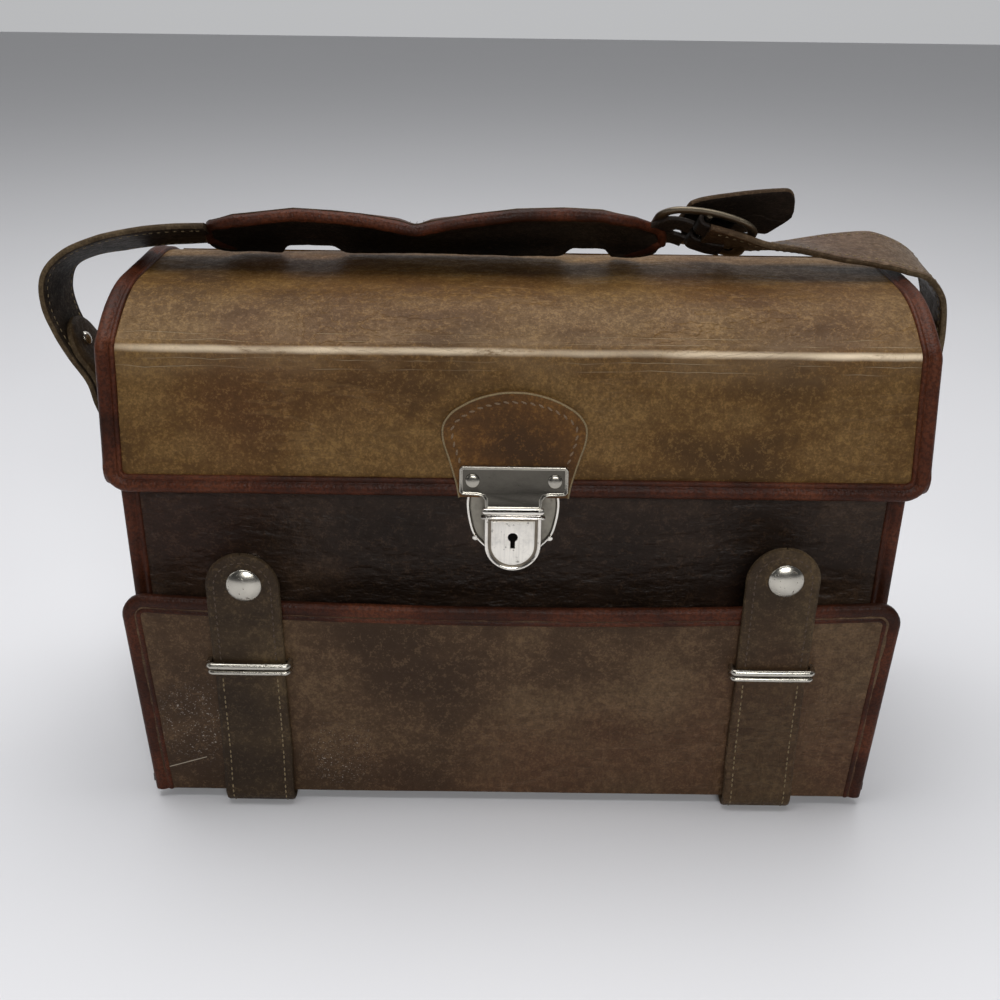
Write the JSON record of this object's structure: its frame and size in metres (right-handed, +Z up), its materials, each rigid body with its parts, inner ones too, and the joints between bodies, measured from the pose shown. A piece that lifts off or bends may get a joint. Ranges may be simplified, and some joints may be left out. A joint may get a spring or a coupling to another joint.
{
  "type": "camera case",
  "caption": "Hard leather camera case with hinged arched lid, sliding briefcase lock, front pocket with snap straps, and a padded shoulder strap.",
  "frame": {"origin": "centre of the part's bounding box in X and Y, on the surface that its feet stand on", "axes": "+X to the right along the case's width, as seen from its front; +Y towards its hinge side; +Z up"},
  "size_m": [0.403, 0.1497, 0.2749],
  "materials": {
    "body_leather": "dark brown, wrinkled, satin",
    "pocket_leather": "mottled dark brown, scratched, satin",
    "lid_leather": "olive brown, fine grained, worn at the fold",
    "strap_leather": "dark olive brown with stitched edges",
    "binding": "reddish brown, grained, semi-gloss",
    "pad_cover": "reddish brown, grained, rolled edges, black below",
    "lining": "brushed cloth",
    "padding": "brushed cloth over foam",
    "nickel": "worn nickel plate",
    "key_steel": "brushed lengthwise, scratched",
    "plain_steel": "plain",
    "dull_metal": "dull, oxidised"
  },
  "bodies": {
    "case": {"bottom_panel": "body_leather", "front_panel": "body_leather", "back_panel": "body_leather", "left_end_panel": "body_leather", "right_end_panel": "body_leather", "edge_binding": "binding", "case_lining": "lining", "floor_cushion": "padding", "padded_partitions": "padding", "metal_feet": "nickel", "hinge_strip": "lid_leather", "lock_base_plate": "nickel", "lock_housing": "nickel", "lock_back_plate": "plain_steel", "lock_rivets": "nickel", "lock_spring": "plain_steel", "snap_studs": "nickel", "under_straps": "strap_leather", "under_strap_rivets": "nickel", "chape_left": "body_leather", "chape_right": "body_leather", "chape_rivets": "nickel"},
    "slider": {"lock_slider": "nickel", "key_plate": "key_steel"},
    "left_ring": {"strap_ring_left": "nickel", "strap_end_left": "strap_leather"},
    "right_ring": {"strap_ring_right": "nickel", "strap_end_right": "strap_leather"},
    "lid": {"lid_top": "lid_leather", "lid_flap": "lid_leather", "lid_ends": "lid_leather", "lid_binding": "binding", "lid_lining": "lining", "lid_hinge_strip": "lid_leather", "lock_tab": "strap_leather", "hasp_plate": "nickel", "hasp_rivets": "nickel"},
    "pocket": {"pocket_panel": "pocket_leather", "pocket_binding": "binding", "pocket_gussets": "body_leather", "strap_keepers": "nickel", "front_straps": "strap_leather"},
    "left_tab": {"snap_tab_left": "strap_leather", "snap_cap_left": "nickel"},
    "right_tab": {"snap_tab_right": "strap_leather", "snap_cap_right": "nickel"},
    "shoulder_strap": {"strap_left": "strap_leather", "strap_right": "strap_leather", "strap_folds": "strap_leather", "strap_rivets": "nickel", "shoulder_pad": "pad_cover", "strap_tail": "strap_leather", "buckle_frame": "dull_metal"},
    "prong": {"buckle_prong": "dull_metal"}
  },
  "joints": [
    {"name": "lid_hinge", "type": "hinge", "parent": "case", "child": "lid", "pos_m": [0.012, 0.07485, 0.215], "axis": [-1, 0, 0], "range_deg": [0, 100]},
    {"name": "lock_slide", "type": "slide", "parent": "case", "child": "slider", "axis": [0, 0, -1], "range_m": [0, 0.005], "stiffness_N_per_m": 200, "springref_m": -0.003, "deforming": ["lock_spring"]},
    {"name": "pocket_hinge", "type": "hinge", "parent": "case", "child": "pocket", "pos_m": [0.012, -0.06575, 0.006], "axis": [1, 0, 0], "range_deg": [0, 85]},
    {"name": "left_tab_hinge", "type": "hinge", "parent": "pocket", "child": "left_tab", "pos_m": [-0.1025, -0.07175, 0.1069], "axis": [1, 0, 0], "range_deg": [0, 100]},
    {"name": "right_tab_hinge", "type": "hinge", "parent": "pocket", "child": "right_tab", "pos_m": [0.1265, -0.07175, 0.1069], "axis": [1, 0, 0], "range_deg": [0, 100]},
    {"name": "left_ring_hinge", "type": "hinge", "parent": "case", "child": "left_ring", "pos_m": [-0.15823, 0.01025, 0.135], "axis": [0, -1, 0], "range_deg": [0, 60]},
    {"name": "right_ring_hinge", "type": "hinge", "parent": "case", "child": "right_ring", "pos_m": [0.18223, 0.01025, 0.135], "axis": [0, 1, 0], "range_deg": [0, 60]},
    {"name": "strap_lift", "type": "slide", "parent": "lid", "child": "shoulder_strap", "axis": [0, 0, 1], "range_m": [0, 0.025]},
    {"name": "prong_hinge", "type": "hinge", "parent": "shoulder_strap", "child": "prong", "pos_m": [0.092, 0.00925, 0.2519], "axis": [0.0818, -0.809, 0.5821], "range_deg": [0, 12]}
  ]
}
